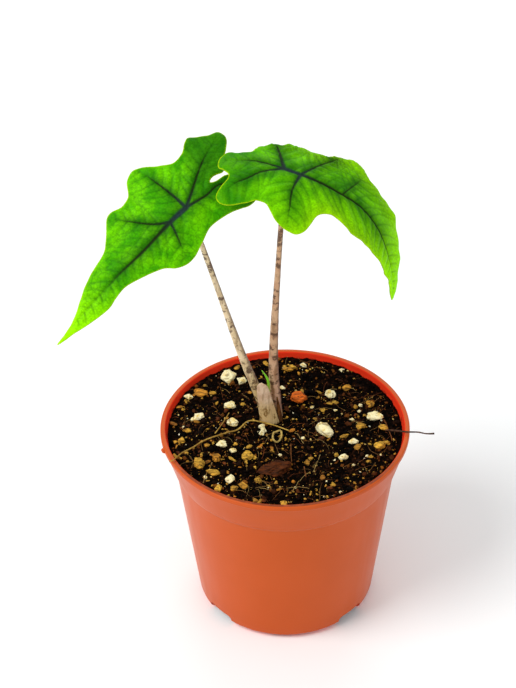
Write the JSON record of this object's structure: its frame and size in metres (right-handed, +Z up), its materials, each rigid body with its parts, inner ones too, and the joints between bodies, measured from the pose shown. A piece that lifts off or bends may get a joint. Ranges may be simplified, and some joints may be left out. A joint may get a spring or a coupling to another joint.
{
  "type": "potted alocasia",
  "caption": "Young alocasia with lobed arrow-shaped leaves on slender stalks, growing in a small tapered plastic nursery pot of gritty soil.",
  "frame": {"origin": "centre of the pot's flat base, on the surface the pot stands on", "axes": "+Z up along the pot's axis; -Y is the front, where the longer leaf points right and the shorter one left; +X to the right seen from the front"},
  "size_m": [0.1101, 0.077, 0.1584],
  "materials": {
    "pot_plastic": "satin",
    "soil": "matte",
    "leaf": "satin",
    "petiole": "satin",
    "crown": "matte",
    "dry_sheath": "matte",
    "shoot": "satin",
    "root": "matte",
    "dark_root": "matte",
    "perlite": "matte",
    "bark": "matte"
  },
  "bodies": {
    "root": {"bark_01": "bark", "bark_02": "bark", "bark_03": "bark", "bark_04": "bark", "bark_05": "bark", "bark_06": "bark", "bark_07": "bark", "bark_08": "bark", "crown": "crown", "leaf_left": "leaf", "leaf_right": "leaf", "new_shoot": "shoot", "old_sheath": "dry_sheath", "perlite_01": "perlite", "perlite_02": "perlite", "perlite_03": "perlite", "perlite_04": "perlite", "perlite_05": "perlite", "perlite_06": "perlite", "perlite_07": "perlite", "perlite_08": "perlite", "perlite_09": "perlite", "perlite_10": "perlite", "perlite_11": "perlite", "perlite_12": "perlite", "perlite_13": "perlite", "perlite_14": "perlite", "perlite_15": "perlite", "perlite_16": "perlite", "petiole_left": "petiole", "petiole_right": "petiole", "pot": "pot_plastic", "root_fork": "root", "root_long": "root", "root_over_rim": "dark_root", "soil": "soil"}
  },
  "joints": []
}
